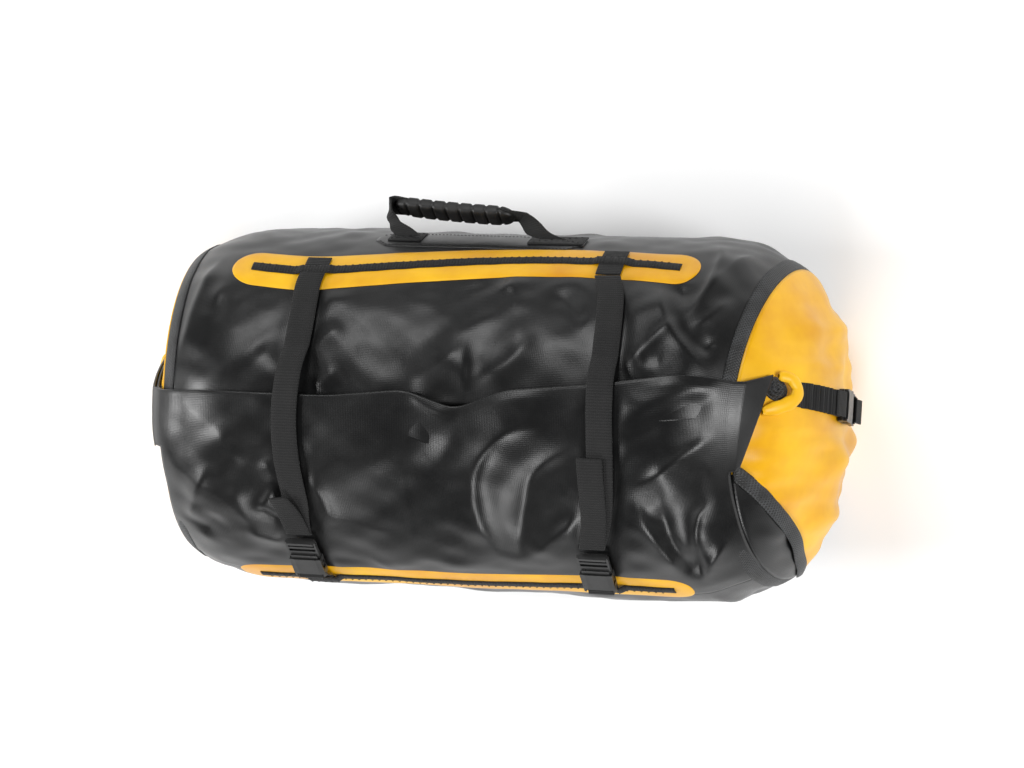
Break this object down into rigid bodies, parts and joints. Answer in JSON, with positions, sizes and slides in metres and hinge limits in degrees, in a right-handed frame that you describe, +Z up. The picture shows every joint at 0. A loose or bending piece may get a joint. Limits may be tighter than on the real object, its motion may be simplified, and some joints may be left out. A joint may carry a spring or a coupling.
{
  "type": "roll-top dry duffel bag",
  "caption": "Waterproof black roll-top duffel with bright end panels, lash strips, a side carry handle and compression straps that hold the rolled closure shut with side-release buckles.",
  "frame": {"origin": "centre of the flat underside, on the floor", "axes": "+X along the bag, +Y towards the side with the carry handle, +Z up through the rolled closure"},
  "size_m": [0.69, 0.3935, 0.3352],
  "materials": {
    "tarp_black": "PVC-coated woven polyester, semi-gloss with a fine diagonal weave showing through",
    "tarp_yellow": "PVC-coated woven polyester, smooth semi-gloss",
    "seam_tape": "welded tape with a pressed cross-hatch",
    "webbing_black": "ribbed polyester webbing, matt",
    "buckle_plastic": "moulded acetal, satin",
    "grip_rubber": "moulded rubber, matt"
  },
  "bodies": {
    "bag": {"body_shell": "tarp_black", "end_cap_right": "tarp_yellow", "end_cap_left": "tarp_yellow", "seam_tape_right": "seam_tape", "seam_tape_left": "seam_tape", "upper_lash_patch": "tarp_yellow", "upper_lash_webbing": "webbing_black", "lower_lash_patch": "tarp_yellow", "lower_lash_webbing": "webbing_black", "handle_patch": "tarp_black", "handle_tab_left": "webbing_black", "handle_tab_right": "webbing_black", "strap_root_left": "webbing_black", "strap_root_right": "webbing_black", "socket_web_left": "webbing_black", "socket_web_right": "webbing_black", "socket_strap_left": "buckle_plastic", "socket_strap_right": "buckle_plastic", "end_anchor_right": "webbing_black", "end_anchor_left": "webbing_black", "plug_end_right": "buckle_plastic", "plug_end_left": "buckle_plastic"},
    "closure": {"closure_flap": "tarp_black", "closure_ear_right": "tarp_yellow", "closure_ear_left": "tarp_yellow"},
    "strap_right": {"strap_right": "webbing_black", "strap_tail_right": "webbing_black", "plug_strap_right": "buckle_plastic"},
    "end_strap_right": {"end_strap_right": "webbing_black", "socket_end_right": "buckle_plastic"},
    "prong_strap_right_a_body": {"prong_strap_right_a": "buckle_plastic"},
    "prong_strap_right_b_body": {"prong_strap_right_b": "buckle_plastic"},
    "prong_end_right_a_body": {"prong_end_right_a": "buckle_plastic"},
    "prong_end_right_b_body": {"prong_end_right_b": "buckle_plastic"},
    "strap_left": {"strap_left": "webbing_black", "strap_tail_left": "webbing_black", "plug_strap_left": "buckle_plastic"},
    "end_strap_left": {"end_strap_left": "webbing_black", "socket_end_left": "buckle_plastic"},
    "prong_strap_left_a_body": {"prong_strap_left_a": "buckle_plastic"},
    "prong_strap_left_b_body": {"prong_strap_left_b": "buckle_plastic"},
    "prong_end_left_a_body": {"prong_end_left_a": "buckle_plastic"},
    "prong_end_left_b_body": {"prong_end_left_b": "buckle_plastic"},
    "handle": {"handle_grip": "grip_rubber", "handle_webbing": "webbing_black"}
  },
  "joints": [
    {"name": "closure_open", "type": "hinge", "parent": "bag", "child": "closure", "pos_m": [0, -0.0845, 0.30133], "axis": [1, 0, 0], "range_deg": [0, 100]},
    {"name": "right_strap_swing", "type": "hinge", "parent": "bag", "child": "strap_right", "pos_m": [0.139, 0.15138, 0.24071], "axis": [-1, 0, 0], "range_deg": [0, 122]},
    {"name": "right_end_strap_swing", "type": "hinge", "parent": "closure", "child": "end_strap_right", "pos_m": [0.32978, 0.04418, 0.22365], "axis": [0, -0.9703, 0.2419], "range_deg": [0, 72]},
    {"name": "squeeze_strap_right_a", "type": "hinge", "parent": "strap_right", "child": "prong_strap_right_a_body", "pos_m": [0.1488, -0.12868, 0.27974], "axis": [0, 0.6884, -0.7254], "range_deg": [0, 8], "stiffness_Nm_per_rad": 0.2},
    {"name": "squeeze_strap_right_b", "type": "hinge", "parent": "strap_right", "child": "prong_strap_right_b_body", "pos_m": [0.1292, -0.12868, 0.27974], "axis": [0, -0.6884, 0.7254], "range_deg": [0, 8], "stiffness_Nm_per_rad": 0.2},
    {"name": "squeeze_end_right_a", "type": "hinge", "parent": "bag", "child": "prong_end_right_a_body", "pos_m": [0.35302, 0.0072, 0.13361], "axis": [-1, 0, 0], "range_deg": [0, 8], "stiffness_Nm_per_rad": 0.2},
    {"name": "squeeze_end_right_b", "type": "hinge", "parent": "bag", "child": "prong_end_right_b_body", "pos_m": [0.35302, 0.02622, 0.12887], "axis": [1, 0, 0], "range_deg": [0, 8], "stiffness_Nm_per_rad": 0.2},
    {"name": "left_strap_swing", "type": "hinge", "parent": "bag", "child": "strap_left", "pos_m": [-0.155, 0.15138, 0.24071], "axis": [-1, 0, 0], "range_deg": [0, 122]},
    {"name": "left_end_strap_swing", "type": "hinge", "parent": "closure", "child": "end_strap_left", "pos_m": [-0.32088, 0.03565, 0.19462], "axis": [0, 0.9703, -0.2419], "range_deg": [0, 72]},
    {"name": "squeeze_strap_left_a", "type": "hinge", "parent": "strap_left", "child": "prong_strap_left_a_body", "pos_m": [-0.1452, -0.12868, 0.27974], "axis": [0, 0.6884, -0.7254], "range_deg": [0, 8], "stiffness_Nm_per_rad": 0.2},
    {"name": "squeeze_strap_left_b", "type": "hinge", "parent": "strap_left", "child": "prong_strap_left_b_body", "pos_m": [-0.1648, -0.12868, 0.27974], "axis": [0, -0.6884, 0.7254], "range_deg": [0, 8], "stiffness_Nm_per_rad": 0.2},
    {"name": "squeeze_end_left_a", "type": "hinge", "parent": "bag", "child": "prong_end_left_a_body", "pos_m": [-0.32702, -0.0008, 0.10561], "axis": [-1, 0, 0], "range_deg": [0, 8], "stiffness_Nm_per_rad": 0.2},
    {"name": "squeeze_end_left_b", "type": "hinge", "parent": "bag", "child": "prong_end_left_b_body", "pos_m": [-0.32702, 0.01822, 0.10086], "axis": [1, 0, 0], "range_deg": [0, 8], "stiffness_Nm_per_rad": 0.2},
    {"name": "handle_swing", "type": "hinge", "parent": "bag", "child": "handle", "pos_m": [0, 0.17756, 0.18667], "axis": [1, 0, 0], "range_deg": [-8, 100]}
  ],
  "couplings": [
    {"joint": "right_strap_swing", "follows": "closure_open", "ratio": 1.2},
    {"joint": "right_end_strap_swing", "follows": "closure_open", "ratio": 0.7},
    {"joint": "squeeze_strap_right_b", "follows": "squeeze_strap_right_a", "ratio": 1},
    {"joint": "squeeze_end_right_b", "follows": "squeeze_end_right_a", "ratio": 1},
    {"joint": "left_strap_swing", "follows": "closure_open", "ratio": 1.2},
    {"joint": "left_end_strap_swing", "follows": "closure_open", "ratio": 0.7},
    {"joint": "squeeze_strap_left_b", "follows": "squeeze_strap_left_a", "ratio": 1},
    {"joint": "squeeze_end_left_b", "follows": "squeeze_end_left_a", "ratio": 1}
  ]
}
